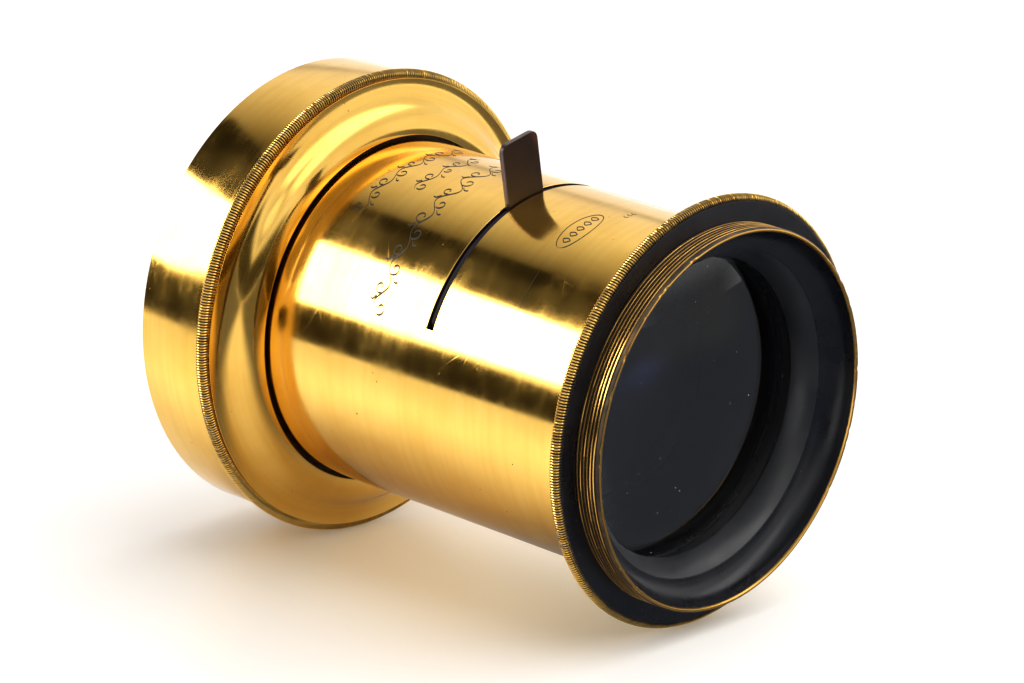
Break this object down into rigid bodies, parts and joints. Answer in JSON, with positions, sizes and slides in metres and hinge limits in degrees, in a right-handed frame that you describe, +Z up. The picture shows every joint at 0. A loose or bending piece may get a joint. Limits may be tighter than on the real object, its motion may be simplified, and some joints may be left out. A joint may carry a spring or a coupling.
{
  "type": "brass portrait lens",
  "caption": "Antique brass portrait lens: plain barrel sliding in a large ogee-fronted collar, milled rings, black-lacquered mouth, and a drop-in aperture plate in a slot.",
  "frame": {"origin": "centre of the rear mounting seat, on the optical axis", "axes": "+Y runs along the optical axis towards the camera, so the lens looks along -Y; +Z is up, along the tab of the aperture plate; +X completes the right-handed set"},
  "size_m": [0.1236, 0.158, 0.1236],
  "materials": {
    "polished_brass": "turned and lacquered brass with wear",
    "inner_brass": "dull turned brass",
    "black_lacquer": "satin black optical lacquer on brass",
    "bronzed_plate": "dark bronzed brass sheet",
    "spring_steel": "blued spring steel",
    "blued_steel": "blued steel screws",
    "lens_glass": "polished uncoated optical glass",
    "velvet": "black cotton velvet"
  },
  "bodies": {
    "collar": {"collar_shell": "polished_brass", "shoulder_ring": "polished_brass", "guide_sleeve": "inner_brass", "sleeve_lining": "velvet", "mount_ring": "polished_brass", "mount_screws": "blued_steel"},
    "barrel": {"barrel_tube": "polished_brass", "front_cell": "polished_brass", "front_retaining_ring": "black_lacquer", "front_crown_glass": "lens_glass", "front_flint_glass": "lens_glass", "stop_guide_front": "black_lacquer", "stop_guide_rear": "black_lacquer", "stop_spring": "spring_steel", "rear_cell": "inner_brass", "rear_flint_glass": "lens_glass", "rear_spacer_ring": "black_lacquer", "rear_crown_glass": "lens_glass", "rear_retaining_ring": "black_lacquer"},
    "stop": {"waterhouse_stop": "bronzed_plate"}
  },
  "joints": [
    {"name": "focus_slide", "type": "slide", "parent": "collar", "child": "barrel", "axis": [0, 1, 0], "range_m": [-0.0114, 0.048]},
    {"name": "stop_slide", "type": "slide", "parent": "barrel", "child": "stop", "axis": [0, 0, 1], "range_m": [0, 0.089]}
  ]
}
